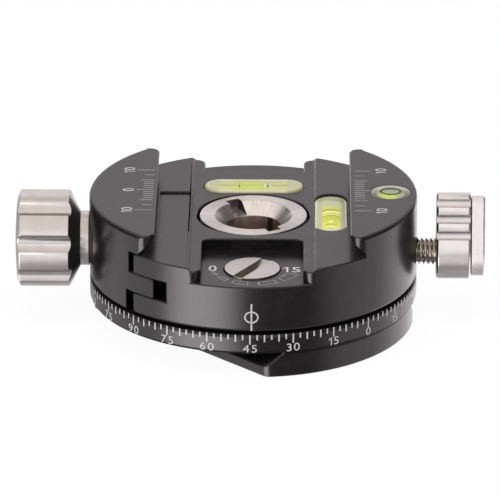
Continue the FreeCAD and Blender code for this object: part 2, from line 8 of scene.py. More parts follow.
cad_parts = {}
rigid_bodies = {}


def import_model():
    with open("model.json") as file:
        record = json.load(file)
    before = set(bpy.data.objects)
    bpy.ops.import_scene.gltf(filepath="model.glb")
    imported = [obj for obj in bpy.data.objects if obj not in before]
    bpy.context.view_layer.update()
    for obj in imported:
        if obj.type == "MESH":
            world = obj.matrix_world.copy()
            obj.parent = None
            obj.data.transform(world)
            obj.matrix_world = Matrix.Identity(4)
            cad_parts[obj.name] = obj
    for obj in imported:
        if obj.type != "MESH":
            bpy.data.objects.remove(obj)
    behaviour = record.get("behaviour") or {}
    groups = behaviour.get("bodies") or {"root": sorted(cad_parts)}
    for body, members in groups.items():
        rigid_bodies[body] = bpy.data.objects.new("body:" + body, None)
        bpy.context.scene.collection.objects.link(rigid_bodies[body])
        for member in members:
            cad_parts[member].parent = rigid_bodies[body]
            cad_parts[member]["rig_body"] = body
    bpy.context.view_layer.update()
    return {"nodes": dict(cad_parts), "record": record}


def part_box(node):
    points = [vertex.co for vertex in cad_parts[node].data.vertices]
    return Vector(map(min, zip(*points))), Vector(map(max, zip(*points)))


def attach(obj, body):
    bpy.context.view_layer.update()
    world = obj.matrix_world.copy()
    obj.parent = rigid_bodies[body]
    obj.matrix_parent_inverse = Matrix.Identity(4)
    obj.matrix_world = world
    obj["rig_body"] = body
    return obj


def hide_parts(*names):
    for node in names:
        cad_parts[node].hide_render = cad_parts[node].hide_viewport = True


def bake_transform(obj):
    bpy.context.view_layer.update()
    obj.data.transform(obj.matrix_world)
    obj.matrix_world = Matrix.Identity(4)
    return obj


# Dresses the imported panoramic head: edges, marks, threads, levels, finishes, studio and camera.
# Lengths are in millimetres, unless a line says metres. +Z is up, -Y is the front.

MM = 0.001
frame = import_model()
nodes = frame["nodes"]


def box_mm(node):
    """A node's lowest and highest corners in millimetres."""
    low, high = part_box(node)
    return low / MM, high / MM


def middle(node):
    low, high = box_mm(node)
    return (low + high) / 2


# ---- places read from the frame ----
HEAD_R = -box_mm("clamp_body")[0].y
TOP = box_mm("clamp_body")[1].z
RING_TOP = box_mm("glide_ring")[0].z
RELIEF = box_mm("spindle")[1].z
DIAL = middle("selector_dial")
DIAL_R = box_mm("selector_dial")[1].x - DIAL.x
LOCK_Z = middle("pan_lock_screw").z

# ---- small sizes of the finish ----
SKIN = 0.015            # the dressed walls stand this far inside the solids' box
PAINT = 0.008           # paint stands this far off its wall
EDGE = 0.2              # flat chamfers of the black pieces
SOFT_EDGE = 0.12        # rounded edges of the knobs
FINE_EDGE = 0.08        # rounded edges of the cap and the dial
SPINDLE_EDGE = 0.1
POCKET_DEPTH = 2.15     # dial pocket below the relief floor
KNOB_COLLAR, KNOB_CONE, KNOB_BEVEL = 1.63, 1.97, 0.9
CONE_SPARE = 0.3        # the cone's finish starts this far inside the grip's end
POCKET_HALF, POCKET_BACK = 9.6, -11.0
POCKET_RIM = 0.12       # a level's pocket reaches this far beyond it
WELL_R = 3.6
WELL_DEEP = 4           # faces this far below the relief floor belong to the well
FLANGE_EDGE = 9.0       # the tool slot ends inside this radius
LIT_EDGE_ABOVE = 15.0       # edges above this height get a painted highlight
RING_BOTTOM = RING_TOP - 3.85
SHADOW_BAND = 0.34      # height of the painted shadow band under the scale ring
RAIL_END = 1.0          # the rail's end wall lies within this of the head's rim
POCKET_FLOOR = RELIEF - POCKET_DEPTH
DIAL_RIM = 0.2          # the dial's own wall lies outside this, the slot's walls inside
# A face is told by how much of its normal lies along an axis.
WALL, STEEP, NEARLY_END, NEARLY_FLAT = 0.3, 0.5, 0.9, 0.95
NEAR = 0.1              # a face this near a height still belongs to it
RIM_WIDTH = 0.5         # the head's rim wall and its chamfer lie within this
WELD = 0.002            # points nearer than this are one point
FLAT_ANGLE = 0.6        # facets within these degrees are one face
SHADE_ANGLE = 30        # an edge shows in the shading from these degrees on
ROUND_ANGLE, CHAMFER_ANGLE = 28, 40  # edges from these degrees on are broken


# ---- mesh helpers ----
def linked(name, data):
    """A new object in the scene."""
    obj = bpy.data.objects.new(name, data)
    bpy.context.scene.collection.objects.link(obj)
    return obj


def solid(name, bm, smooth=35.0):
    """A new object from a bmesh in millimetres."""
    bmesh.ops.scale(bm, vec=Vector((MM, MM, MM)), verts=bm.verts)
    bmesh.ops.recalc_face_normals(bm, faces=bm.faces)
    mesh = bpy.data.meshes.new(name)
    bm.to_mesh(mesh)
    bm.free()
    shade(mesh, smooth)
    return linked(name, mesh)


def shade(mesh, angle):
    mesh.polygons.foreach_set("use_smooth", [True] * len(mesh.polygons))
    mesh.set_sharp_from_angle(angle=math.radians(angle))


def lofted(bm, loops, capped=True):
    """Skins closed loops of equal length, with a cap at each end."""
    rings = [[bm.verts.new(p) for p in loop] for loop in loops]
    for low, high in zip(rings, rings[1:]):
        count = len(low)
        for i in range(count):
            j = (i + 1) % count
            bm.faces.new((low[i], low[j], high[j], high[i]))
    if capped:
        bm.faces.new(list(reversed(rings[0])))
        bm.faces.new(rings[-1])


def stadium(centre, length, width, inset, z, along, steps=12):
    """A loop with round ends, drawn in by inset."""
    radius = width / 2 - inset
    half = (length - width) / 2
    loop = []
    for side in (1, -1):
        for i in range(steps + 1):
            a = math.pi * (i / steps - 0.5)
            u = side * (half + radius * math.cos(a))
            v = side * radius * math.sin(a)
            x, y = (u, v) if along == "x" else (-v, u)
            loop.append(Vector((centre.x + x, centre.y + y, z)))
    return loop


def oval(centre, half_x, half_y, z=0.0, steps=20):
    turn = 2 * math.pi / steps
    return [Vector((centre.x + half_x * math.cos(i * turn),
                    centre.y + half_y * math.sin(i * turn), z)) for i in range(steps)]


def ribbon(bm, outer, inner, low, high):
    """A closed flat band between two loops of equal length."""
    loops = [[Vector((p.x, p.y, z)) for p in loop] for loop, z in
             ((outer, low), (outer, high), (inner, high), (inner, low), (outer, low))]
    lofted(bm, loops, capped=False)


def dress(piece, body, slot, material, *stands_for):
    """Puts a new piece on its body and gives it its finish."""
    piece.data.materials.append(material)
    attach(piece, body)
    if stands_for:
        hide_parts(*stands_for)
    return piece


def cleaned(node, split_z=None):
    """A node's mesh with its facets joined and the skin taken off; split_z cuts its walls."""
    bm = bmesh.new()
    bm.from_mesh(nodes[node].data)
    bmesh.ops.remove_doubles(bm, verts=bm.verts, dist=WELD * MM)
    bmesh.ops.dissolve_limit(bm, angle_limit=math.radians(FLAT_ANGLE), verts=bm.verts,
                             edges=bm.edges)
    if split_z:
        bmesh.ops.bisect_plane(bm, geom=bm.verts[:] + bm.edges[:] + bm.faces[:],
                               plane_co=(0, 0, split_z * MM), plane_no=(0, 0, 1))
    for vert in bm.verts:
        keep_inside(vert)
    return bm


def finished(node, bm, material):
    """A piece in place of a node's plain solid."""
    mesh = bpy.data.meshes.new(node + "_finished")
    bm.to_mesh(mesh)
    bm.free()
    piece = linked(node + "_finished", mesh)
    return dress(piece, nodes[node]["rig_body"], slots[node], material, node)


def rounded(node, width, material):
    """A machined piece with rounded edges."""
    bm = cleaned(node)
    weight = bm.edges.layers.float.new("bevel_weight_edge")
    for edge in bm.edges:
        if is_sharp(edge, ROUND_ANGLE):
            edge[weight] = 1.0
    piece = finished(node, bm, material)
    shade(piece.data, SHADE_ANGLE)
    edge = piece.modifiers.new("edge", "BEVEL")
    edge.width = width * MM
    edge.segments = 2
    edge.limit_method = "WEIGHT"
    edge.use_clamp_overlap = False
    edge.harden_normals = True
    return piece


def chamfered(node, split_z=None):
    """A black piece with flat chamfers."""
    bm = cleaned(node, split_z)
    chamfer(bm)
    piece = finished(node, bm, BLACK)
    piece.data.polygons.foreach_set("use_smooth", [True] * len(piece.data.polygons))
    return piece


def chamfer(bm):
    """Flat chamfers on the outer edges; the flat faces beside them stay flat in shading."""
    bm.normal_update()
    levels = [box_mm(name) for name in ("side_level_vial", "round_level_vial")]
    outer = [edge for edge in bm.edges if is_sharp(edge, CHAMFER_ANGLE) and edge.is_convex
             and not any(is_beside(edge, *level) for level in levels)]
    cut = bmesh.ops.bevel(bm, geom=outer, offset=EDGE * MM, offset_type="OFFSET",
                          segments=1, profile=0.5, affect="EDGES", clamp_overlap=False)
    bm.normal_update()
    fresh = set(cut["faces"])
    for edge in bm.edges:
        beside = len([face for face in edge.link_faces if face in fresh])
        edge.smooth = beside != 1 and not is_sharp(edge, SHADE_ANGLE)


def is_beside(edge, low, high):
    """True on the rim of a level's pocket, which stays sharp round the level."""
    centre = (edge.verts[0].co + edge.verts[1].co) / 2 / MM
    return all(low[k] - POCKET_RIM < centre[k] < high[k] + POCKET_RIM for k in (0, 1))


def refinish(piece, material, chosen):
    """Gives the faces that chosen picks, by centre in millimetres and normal, a finish."""
    piece.data.materials.append(material)
    for face in piece.data.polygons:
        if chosen(face.center / MM, face.normal):
            face.material_index = len(piece.data.materials) - 1


def is_worn(point, normal):
    """The long sloped edges facing the left along the fixed jaw, which a plate slides in against:
    painted highlight.
    """
    slope = normal.x < -STEEP and abs(normal.y) < WALL and normal.z > STEEP
    return slope and point.z > LIT_EDGE_ABOVE


def is_sharp(edge, angle):
    return len(edge.link_faces) == 2 and edge.calc_face_angle() > math.radians(angle)


def keep_inside(vert):
    """Draws the head's rim and top in by the skin, which leaves room for paint."""
    point = vert.co / MM
    reach = math.hypot(point.x, point.y)
    if HEAD_R - SKIN < reach < HEAD_R + SKIN:
        vert.co.x *= (HEAD_R - SKIN) / reach
        vert.co.y *= (HEAD_R - SKIN) / reach
    if point.z > TOP - SKIN:
        vert.co.z = (TOP - SKIN) * MM


# ---- materials ----
def feed(tree, made, inputs):
    """Sets a shader node's inputs to plain values or to other nodes' outputs."""
    for socket, value in inputs.items():
        if isinstance(value, bpy.types.NodeSocket):
            tree.links.new(value, made.inputs[socket])
        else:
            made.inputs[socket].default_value = value
    return made


def shader_node(tree, kind, inputs, **settings):
    made = tree.nodes.new("ShaderNode" + kind)
    for name, value in settings.items():
        setattr(made, name, value)
    return feed(tree, made, inputs)


def new_material(name, **values):
    """A principled material whose plain values sit on the shader's own sockets."""
    material = bpy.data.materials.new(name)
    material.use_nodes = True
    tree = material.node_tree
    plain = {socket.replace("_", " "): value for socket, value in values.items()}
    return material, tree, feed(tree, tree.nodes["Principled BSDF"], plain)


def object_point(tree, stretch=(1, 1, 1)):
    """Object coordinates in millimetres, with an optional stretch."""
    where = shader_node(tree, "TexCoord", {})
    scale = [s / MM for s in stretch]
    return shader_node(tree, "Mapping", {"Vector": where.outputs["Object"],
                                         "Scale": scale}).outputs["Vector"]


def noise(tree, vector, scale, detail=3.0):
    inputs = {"Vector": vector, "Scale": scale, "Detail": detail}
    return shader_node(tree, "TexNoise", inputs).outputs["Fac"]


def separate(tree, vector):
    return shader_node(tree, "SeparateXYZ", {"Vector": vector}).outputs


def math_node(tree, operation, first, second):
    made = shader_node(tree, "Math", {0: first, 1: second}, operation=operation)
    return made.outputs["Value"]


def ramp(tree, value, low, high, span=(0.35, 0.65)):
    """Spreads a noise between two colours or two greys."""
    made = shader_node(tree, "ValToRGB", {"Fac": value})
    for stop, place, colour in zip(made.color_ramp.elements, span, (low, high)):
        stop.position = place
        stop.color = rgba(colour)
    return made.outputs["Color"]


def rgba(value):
    return (value, value, value, 1) if isinstance(value, float) else (*value, 1)


def textured(tree, shader, tone, fine, rough, strength, relief):
    """Colour and roughness, with a bump of relief millimetres from a fine pattern."""
    height = {"Strength": strength, "Distance": relief * MM, "Height": fine}
    bump = shader_node(tree, "Bump", height).outputs["Normal"]
    feed(tree, shader, {"Base Color": tone, "Roughness": ramp(tree, fine, *rough), "Normal": bump})


# Noise scales are per millimetre.
CLOUD = 0.35            # a blasted finish's slow change of colour
TURNED_CLOUD = 0.8
RING_SCALE = 1 / 0.22   # the wave texture's, for the turning tool's fine rings
CONE_STREAKS, CONE_NOISE = 26.0, 0.6  # together they set the streaks round the cone
BLASTED_BUMP, DRAWN_BUMP, TURNED_BUMP = 0.35, 0.3, 0.25


def blasted(name, dark, light, rough, grain=9.0, relief=0.0015, **values):
    """Bead-blasted and anodised: fine even grain, faint cloudiness."""
    material, tree, shader = new_material(name, **values)
    point = object_point(tree)
    fine = noise(tree, point, grain, 2.0)
    tone = ramp(tree, noise(tree, point, CLOUD), dark, light)
    textured(tree, shader, tone, fine, rough, BLASTED_BUMP, relief)
    return material


def drawn(name, dark, light, rough, stretch=(4.0, 1.0, 1.0)):
    """Drawn or brushed metal: streaks along the axis with the smallest stretch."""
    material, tree, shader = new_material(name, Metallic=1.0)
    streak = noise(tree, object_point(tree, stretch), 1.0, 4.0)
    tone = ramp(tree, streak, dark, light)
    textured(tree, shader, tone, streak, rough, DRAWN_BUMP, 0.002)
    return material


def turned(name, dark, light, rough):
    """Lathe-turned metal: fine rings about the pan axis."""
    material, tree, shader = new_material(name, Metallic=1.0, Anisotropic=0.95,
                                          Anisotropic_Rotation=0.25)
    point = object_point(tree)
    wave = {"Vector": point, "Scale": RING_SCALE, "Distortion": 1.5, "Detail": 3.0}
    rings = shader_node(tree, "TexWave", wave, wave_type="RINGS", rings_direction="Z")
    tone = ramp(tree, noise(tree, point, TURNED_CLOUD), dark, light)
    textured(tree, shader, tone, rings.outputs["Fac"], (*rough, (0.0, 1.0)), TURNED_BUMP, 0.003)
    grain = shader_node(tree, "Tangent", {}, direction_type="RADIAL", axis="Z")
    feed(tree, shader, {"Tangent": grain.outputs["Tangent"]})
    return material


def radial_streaks(name, dark, light, rough):
    """A bored cone: streaks that run down its slope."""
    material, tree, shader = new_material(name, Metallic=1.0)
    where = separate(tree, object_point(tree))
    angle = math_node(tree, "ARCTAN2", where["Y"], where["X"])
    turn = math_node(tree, "MULTIPLY", angle, CONE_STREAKS)
    across = shader_node(tree, "CombineXYZ", {"X": turn, "Y": where["Z"]})
    streak = noise(tree, across.outputs["Vector"], CONE_NOISE, 4.0)
    tone = ramp(tree, streak, dark, light, (0.3, 0.7))
    textured(tree, shader, tone, streak, rough, DRAWN_BUMP, 0.004)
    return material


def metal(name, dark, light, rough=(0.3, 0.4), grain=9.0):
    """Blasted bare or clear anodised metal."""
    return blasted(name, dark, light, rough, grain, Metallic=1.0)


def glossy(name, dark, light, rough=(0.1, 0.16), grain=1.5, **values):
    """Moulded clear plastic, as one even layer."""
    return blasted(name, dark, light, rough, grain, 0.0005, **values)


# Grey painted highlight for the sloped black edges that face the left light.
LIT_EDGE_BLACK = metal("edge_painted_highlight", (0.26, 0.25, 0.26), (0.40, 0.385, 0.40), (0.25, 0.35), 3.0)
# Near-black painted shade, for the dial pocket's walls and the band under the scale ring.
PAINTED_SHADE_BLACK = blasted("pocket_and_ring_painted_shade", (0.006, 0.006, 0.006), (0.012, 0.011, 0.011),
                       (0.3, 0.4), Specular_IOR_Level=0.15)
BLACK = blasted("black_anodised_finish", (0.0060, 0.0056, 0.0062), (0.0090, 0.0084, 0.0092),
                (0.22, 0.28))
SILVER = metal("silver_anodised_finish", (0.74, 0.74, 0.715), (0.80, 0.80, 0.775), (0.28, 0.34))
KNOB_METAL = metal("knob_anodised_finish", (0.64, 0.635, 0.61), (0.71, 0.705, 0.68), (0.28, 0.34))
CONE_METAL = metal("knob_cone_finish", (0.62, 0.60, 0.58), (0.69, 0.67, 0.65), (0.3, 0.36))
# Dark painted shade for the knob's left end bevel.
SHADED_BEVEL_METAL = metal("knob_bevel_painted_shade", (0.19, 0.19, 0.185), (0.25, 0.25, 0.245))
# Dark brown painted shade for the spindle tool slot's wall.
SHADED_SLOT_METAL = metal("slot_wall_painted_shade", (0.13, 0.10, 0.08), (0.20, 0.15, 0.12))
WELL_METAL = metal("spindle_well_finish", (0.62, 0.52, 0.48), (0.72, 0.61, 0.56))
DIAL_SLOT_METAL = metal("dial_slot_finish", (0.80, 0.70, 0.60), (0.92, 0.83, 0.74), (0.35, 0.45))
FLANGE_METAL = turned("spindle_turned_finish", (0.70, 0.695, 0.68), (0.80, 0.795, 0.775),
                      (0.34, 0.42))
CONE_FACE = radial_streaks("spindle_cone_finish", (0.72, 0.69, 0.66), (0.99, 0.97, 0.93),
                           (0.28, 0.40))
CAP_METAL = drawn("cap_brushed_finish", (0.84, 0.84, 0.81), (0.92, 0.92, 0.89), (0.40, 0.52),
                  (3.0, 3.0, 0.12))
DIAL_METAL = drawn("dial_brushed_finish", (0.56, 0.56, 0.535), (0.66, 0.66, 0.635),
                   (0.26, 0.38), (0.2, 5.0, 5.0))
THREAD_METAL = drawn("thread_steel_finish", (0.88, 0.81, 0.72), (1.0, 0.96, 0.88), (0.12, 0.24))
STEEL = drawn("steel_finish", (0.48, 0.47, 0.46), (0.62, 0.61, 0.60), (0.2, 0.32))
BRASS = drawn("brass_finish", (0.66, 0.47, 0.20), (0.78, 0.60, 0.30), (0.22, 0.34))
BEARING = blasted("bearing_plastic_finish", (0.028, 0.028, 0.028), (0.04, 0.04, 0.04),
                  (0.42, 0.52), 4.0)
MARK = blasted("engraved_paint", (0.44, 0.44, 0.45), (0.54, 0.54, 0.55), (0.5, 0.62), 5.0)
FAINT_MARK = blasted("faint_engraved_paint", (0.27, 0.27, 0.27), (0.37, 0.37, 0.37),
                     (0.5, 0.62), 5.0)
ACRYLIC = glossy("clear_acrylic_finish", (0.34, 0.34, 0.19), (0.42, 0.42, 0.27), (0.14, 0.22))
# A pale ring of painted highlight just inside each tube vial's edge.
RIM_HIGHLIGHT_FINISH = glossy("level_rim_painted_highlight", (0.40, 0.415, 0.28), (0.48, 0.495, 0.36))
ACRYLIC_LIGHT = glossy("acrylic_glint_finish", (0.48, 0.47, 0.34), (0.60, 0.59, 0.46))
LIQUID = glossy("level_liquid_finish", (0.41, 0.49, 0.05), (0.48, 0.55, 0.10), grain=0.9)
ARC_DARK = glossy("meniscus_edge_finish", (0.17, 0.21, 0.02), (0.24, 0.28, 0.04), (0.12, 0.2),
                  Specular_IOR_Level=0.2)
ARC_LIGHT = glossy("meniscus_glint_finish", (0.62, 0.66, 0.12), (0.72, 0.75, 0.24))
RING_MARK = blasted("level_ring_mark", (0.012, 0.014, 0.008), (0.02, 0.022, 0.012), (0.3, 0.4),
                    4.0, Specular_IOR_Level=0.1)

FINISH = {
    "black_anodised": BLACK, "silver_anodised": SILVER, "steel": STEEL, "brass": BRASS,
    "bearing_plastic": BEARING, "clear_acrylic": ACRYLIC, "level_liquid": LIQUID}
slots = {row["node"]: row["material_slot"] for row in frame["record"]["subparts"]}


# ---- machined pieces ----
def finish_hidden_nodes():
    """Every node left as its solid gets its finish."""
    for name, node in nodes.items():
        node.data.materials.clear()
        node.data.materials.append(FINISH[slots[name]])


def machined_pieces():
    base = chamfered("pan_base", RING_BOTTOM - SHADOW_BAND)
    # painted shadow under the scale ring
    refinish(base, PAINTED_SHADE_BLACK, is_ring_underside)
    body = chamfered("clamp_body")
    # painted highlight on the left-facing sloped edges
    refinish(body, LIT_EDGE_BLACK, is_worn)
    # painted shade on the dial pocket's upright walls
    refinish(body, PAINTED_SHADE_BLACK, is_pocket_wall)
    chamfered("moving_jaw")
    clamp_knob()
    rounded("pan_lock_knob", SOFT_EDGE, SILVER)
    rounded("pan_lock_cap", FINE_EDGE, CAP_METAL)
    spindle = rounded("spindle", SPINDLE_EDGE, FLANGE_METAL)
    refinish(spindle, CONE_FACE, lambda centre, normal: WALL < normal.z < NEARLY_FLAT
             and centre.xy.length < FLANGE_EDGE)
    refinish(spindle, WELL_METAL, is_well_wall)
    # painted shade on the tool slot's wall
    refinish(spindle, SHADED_SLOT_METAL, lambda centre, normal: is_well_wall(centre, normal)
             and centre.y > WELL_R and normal.x < -STEEP)
    dial = rounded("selector_dial", FINE_EDGE, DIAL_METAL)
    refinish(dial, DIAL_SLOT_METAL, lambda centre, normal: abs(normal.z) < WALL
             and (centre - DIAL).xy.length < DIAL_R - DIAL_RIM)


def clamp_knob():
    """The fluted knob, whose cone has a finish of its own and whose left end bevel gets a painted
    shade.
    """
    low, high = box_mm("clamp_knob")
    cone_start = high.x - KNOB_COLLAR - KNOB_CONE + CONE_SPARE
    knob = rounded("clamp_knob", SOFT_EDGE, KNOB_METAL)
    refinish(knob, CONE_METAL, lambda centre, normal: centre.x > cone_start)
    # painted shade on the left end bevel
    refinish(knob, SHADED_BEVEL_METAL, lambda centre, normal: centre.x < low.x + KNOB_BEVEL
             and -NEARLY_END < normal.x < -WALL)


def is_ring_underside(centre, normal):
    """Painted shadow on the scale ring's lower edge and on the top of the rail's end wall that it
    overhangs.
    """
    edge = normal.z < -WALL and RING_BOTTOM - NEAR < centre.z < RING_TOP
    band = abs(normal.z) < WALL and RING_BOTTOM - SHADOW_BAND < centre.z < RING_BOTTOM + NEAR
    return edge or (band and centre.xy.length > HEAD_R - RAIL_END)


def is_pocket_wall(centre, normal):
    """The upright walls of the dial's pocket, darkened as painted shade."""
    inside = abs(centre.x) < POCKET_HALF and -HEAD_R + RIM_WIDTH < centre.y < POCKET_BACK
    return inside and abs(normal.z) < STEEP and POCKET_FLOOR < centre.z < RELIEF + 2 * NEAR


def is_well_wall(centre, normal):
    """The well's and the tool slot's upright walls, and the well's floor."""
    upright = abs(normal.z) < WALL
    return (upright and centre.xy.length < FLANGE_EDGE) or centre.z < RELIEF - WELL_DEEP


# ---- springs ----
def spring(node):
    """A coil with one end seated in the platform, as a still copy of its node's mesh baked in
    place.
    """
    coils = linked(node + "_coils", nodes[node].data.copy())
    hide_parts(node)
    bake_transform(coils)


def springs():
    spring("jaw_springs")
    spring("detent_spring")


# ---- lock screw's thread ----
THREAD_PITCH = 0.8
THREAD_DEPTH = 0.46
THREAD_CREST, THREAD_FLANK = 0.12, 0.7  # shares of half a pitch
THREAD_STEPS = 10       # along one pitch
THREAD_SIDES = 40
THREAD_LEAD_IN = 3.2    # thread length kept inside the body


def thread_cut(share):
    """Depth at a share of one pitch: flat crest, straight flanks, narrow root."""
    rise = abs(2 * (share % 1.0) - 1.0)
    return THREAD_DEPTH * min(1.0, max(0.0, (rise - THREAD_CREST) / THREAD_FLANK))


def screw_point(x, angle, radius):
    return Vector((x, radius * math.cos(angle), LOCK_Z + radius * math.sin(angle)))


def lock_screw():
    low, high = box_mm("pan_lock_screw")
    major = (high.z - low.z) / 2
    start = HEAD_R - THREAD_LEAD_IN
    bm = bmesh.new()
    angles = [2 * math.pi * i / THREAD_SIDES for i in range(THREAD_SIDES)]
    loops = [[screw_point(low.x, a, major) for a in angles]]
    count = round((high.x - start) / THREAD_PITCH * THREAD_STEPS)
    for i in range(count + 1):
        x = start + (high.x - start) * i / count
        loops.append([screw_point(x, a, major - thread_cut(x / THREAD_PITCH - a / (2 * math.pi)))
                      for a in angles])
    lofted(bm, loops)
    dress(solid("lock_screw_thread", bm, 50), "lock_knob", "steel", THREAD_METAL,
          "pan_lock_screw")


# ---- painted marks ----
def painted(name, bm, body, material=MARK):
    """Paint on a black piece."""
    dress(solid(name, bm), body, "black_anodised", material)


def flat_bar(bm, x, y, z):
    """A thin plate from (low, high) pairs."""
    corners = [Vector((a, b, c)) for c in z for a, b in
               ((x[0], y[0]), (x[1], y[0]), (x[1], y[1]), (x[0], y[1]))]
    lofted(bm, [corners[:4], corners[4:]])


ONE_W, ONE_STEM, ONE_H = 0.32, 0.085, 0.69
ONE_FLAG = 0.17


def one(weight):
    """A flagged 1, as tall as the font's own figures."""
    bm = bmesh.new()
    stem = ONE_STEM + 2 * weight
    corners = [(ONE_W - stem, 0), (ONE_W, 0), (ONE_W, ONE_H), (ONE_W - stem, ONE_H),
               (ONE_W - stem - ONE_FLAG, ONE_H - ONE_FLAG),
               (ONE_W - stem - ONE_FLAG, ONE_H - ONE_FLAG - stem), (ONE_W - stem, ONE_H - stem)]
    bm.faces.new([bm.verts.new((x, y, 0)) for x, y in corners])
    return bm


GLYPH_GAP = 0.17


def glyphs(text, weight):
    """Flat figures side by side."""
    row = bmesh.new()
    end = 0.0
    for letter in text:
        bm = one(weight) if letter == "1" else glyph(letter, weight)
        low, high = extent(bm)
        merge(row, bm, lambda p: p + Vector((end - low.x, 0, 0)))
        end += high.x - low.x + GLYPH_GAP
    return row


def glyph(text, weight):
    """A flat figure as Blender's own font draws it."""
    curve = bpy.data.curves.new("figures", "FONT")
    curve.body = text
    curve.offset = weight
    curve.resolution_u = 4
    holder = bpy.data.objects.new("figures", curve)
    mesh = bpy.data.meshes.new_from_object(holder)
    bm = bmesh.new()
    bm.from_mesh(mesh)
    bpy.data.objects.remove(holder)
    bpy.data.curves.remove(curve)
    bpy.data.meshes.remove(mesh)
    return bm


def extent(bm):
    """Lowest and highest corners of a flat outline."""
    low = Vector([min(v.co[k] for v in bm.verts) for k in (0, 1, 2)])
    high = Vector([max(v.co[k] for v in bm.verts) for k in (0, 1, 2)])
    return low, high


def digits(text, size, weight=0.0):
    """Figures whose "0" has the given (width, height), centred in x, standing on y = 0."""
    model = glyphs("0", weight)
    low, high = extent(model)
    model.free()
    stretch = (size[0] / (high.x - low.x), size[1] / (high.y - low.y))
    base = low.y
    bm = glyphs(text, weight)
    low, high = extent(bm)
    for vert in bm.verts:
        vert.co.x = (vert.co.x - (low.x + high.x) / 2) * stretch[0]
        vert.co.y = (vert.co.y - base) * stretch[1]
    for face in bmesh.ops.extrude_face_region(bm, geom=bm.faces[:])["geom"]:
        if isinstance(face, bmesh.types.BMVert):
            face.co.z += PAINT
    return bm


def merge(target, source, place):
    """Adds the source's faces to the target, each point moved by place."""
    copies = {v: target.verts.new(place(v.co)) for v in source.verts}
    for face in source.faces:
        target.faces.new([copies[v] for v in face.verts])
    source.free()


def wrapped(angle, z):
    """Places a flat point on the head's round wall; angle 0 is the front."""
    def place(p):
        turn = angle + p.x / WALL_R
        reach = WALL_R + p.z
        return Vector((reach * math.sin(turn), -reach * math.cos(turn), z + p.y))
    return place


def wall_tick(bm, angle, low, high, width):
    """A painted tick on the head's round wall."""
    tick = bmesh.new()
    flat_bar(tick, (-width / 2, width / 2), (low, high), (-PAINT, PAINT))
    merge(bm, tick, wrapped(angle, 0))


SCALE_TICK = 0.27
SCALE_LONG, SCALE_MIDDLE, SCALE_SHORT = 1.78, 1.36, 0.95
SCALE_STEP = 2.5        # degrees
TICKS_TO_MIDDLE, TICKS_TO_NUMBER = 2, 6
SCALE_TOP_GAP = 0.03
FIGURE_SIZE = (1.1, 1.5)
FIGURE_BASE = 5.1
SCALE_ZERO = 45.0       # degrees from the front towards +X
SCALE_TURN = math.radians(-0.6)
INDEX_TURN = math.radians(-0.1)
WALL_R = HEAD_R - SKIN + PAINT


def scale_number(degrees):
    """The ring reads 0 to 90 and back in each half turn."""
    away = abs(degrees - SCALE_ZERO) % 180
    return round(min(away, 180 - away))


def scale_ring_marks():
    ticks = bmesh.new()
    figures = bmesh.new()
    high = RING_TOP - SCALE_TOP_GAP
    for i in range(round(360 / SCALE_STEP)):
        degrees = i * SCALE_STEP
        angle = math.radians(degrees) + SCALE_TURN
        length = SCALE_SHORT
        if i % TICKS_TO_MIDDLE == 0:
            length = SCALE_MIDDLE
        if i % TICKS_TO_NUMBER == 0:
            length = SCALE_LONG
            text = str(scale_number(degrees))
            merge(figures, digits(text, FIGURE_SIZE), wrapped(angle, FIGURE_BASE))
        wall_tick(ticks, angle, high - length, high, SCALE_TICK)
    painted("ring_scale_ticks", ticks, "base")
    painted("ring_scale_figures", figures, "base")


INDEX_LOW, INDEX_HIGH = 9.35, 14.52
INDEX_W = 0.3
INDEX_EYE = (1.3, 1.16)
INDEX_EYE_Z = 11.93
INDEX_EYE_SIDES = 40
INDEX_LINE = 0.27


def front_index():
    """The line with an eye on the platform's front wall."""
    bm = bmesh.new()
    wall_tick(bm, INDEX_TURN, INDEX_LOW, INDEX_HIGH, INDEX_W)
    ring = bmesh.new()
    eyes = [oval(Vector(), INDEX_EYE[0] - inset, INDEX_EYE[1] - inset, steps=INDEX_EYE_SIDES)
            for inset in (0, INDEX_LINE)]
    ribbon(ring, *eyes, -PAINT, PAINT)
    merge(bm, ring, wrapped(INDEX_TURN, INDEX_EYE_Z))
    painted("front_index_mark", bm, "platform")


JAW_LINE = 0.16
JAW_LINE_START = {-1: 18.26, 1: 18.53}
JAW_LONG, JAW_MIDDLE, JAW_SHORT = 3.2, 2.35, 1.85
JAW_FIGURE_SIZE = (1.25, 2.0)
JAW_FIGURE_WEIGHT = -0.008
JAW_FIGURE_X = {-1: 22.9, 1: 23.4}
JAW_SCALE_Y = 0.85      # the scales stand this far behind the middle
JAW_TOP = TOP - SKIN


def jaw_line_places():
    """(place along y, length) of a jaw scale's lines."""
    places = [(y, JAW_SHORT) for y in range(-4, 5) if y]
    places += [(y, JAW_MIDDLE) for y in (-5, 5)]
    places += [(y, JAW_SHORT) for y in (-7.5, 7.5)]
    return places + [(y, JAW_LONG) for y in (-10, 0, 10)]


def jaw_scale(side, body, numbers):
    """The plate scale on one jaw's top; side is -1 on the moving jaw."""
    lines = bmesh.new()
    for y, length in jaw_line_places():
        start = JAW_LINE_START[side]
        x = sorted((side * start, side * (start + length)))
        y += JAW_SCALE_Y
        flat_bar(lines, x, (y - JAW_LINE / 2, y + JAW_LINE / 2),
                 (JAW_TOP - PAINT, JAW_TOP + PAINT))
    name = "left" if side < 0 else "right"
    painted(name + "_jaw_scale_lines", lines, body, FAINT_MARK)
    figures = bmesh.new()
    for y, text in numbers:
        def place(p, y=y + JAW_SCALE_Y):
            return Vector((side * JAW_FIGURE_X[side] + JAW_FIGURE_SIZE[1] / 2 - p.y, y + p.x,
                           JAW_TOP + p.z))
        merge(figures, digits(text, JAW_FIGURE_SIZE, JAW_FIGURE_WEIGHT), place)
    painted(name + "_jaw_scale_figures", figures, body)


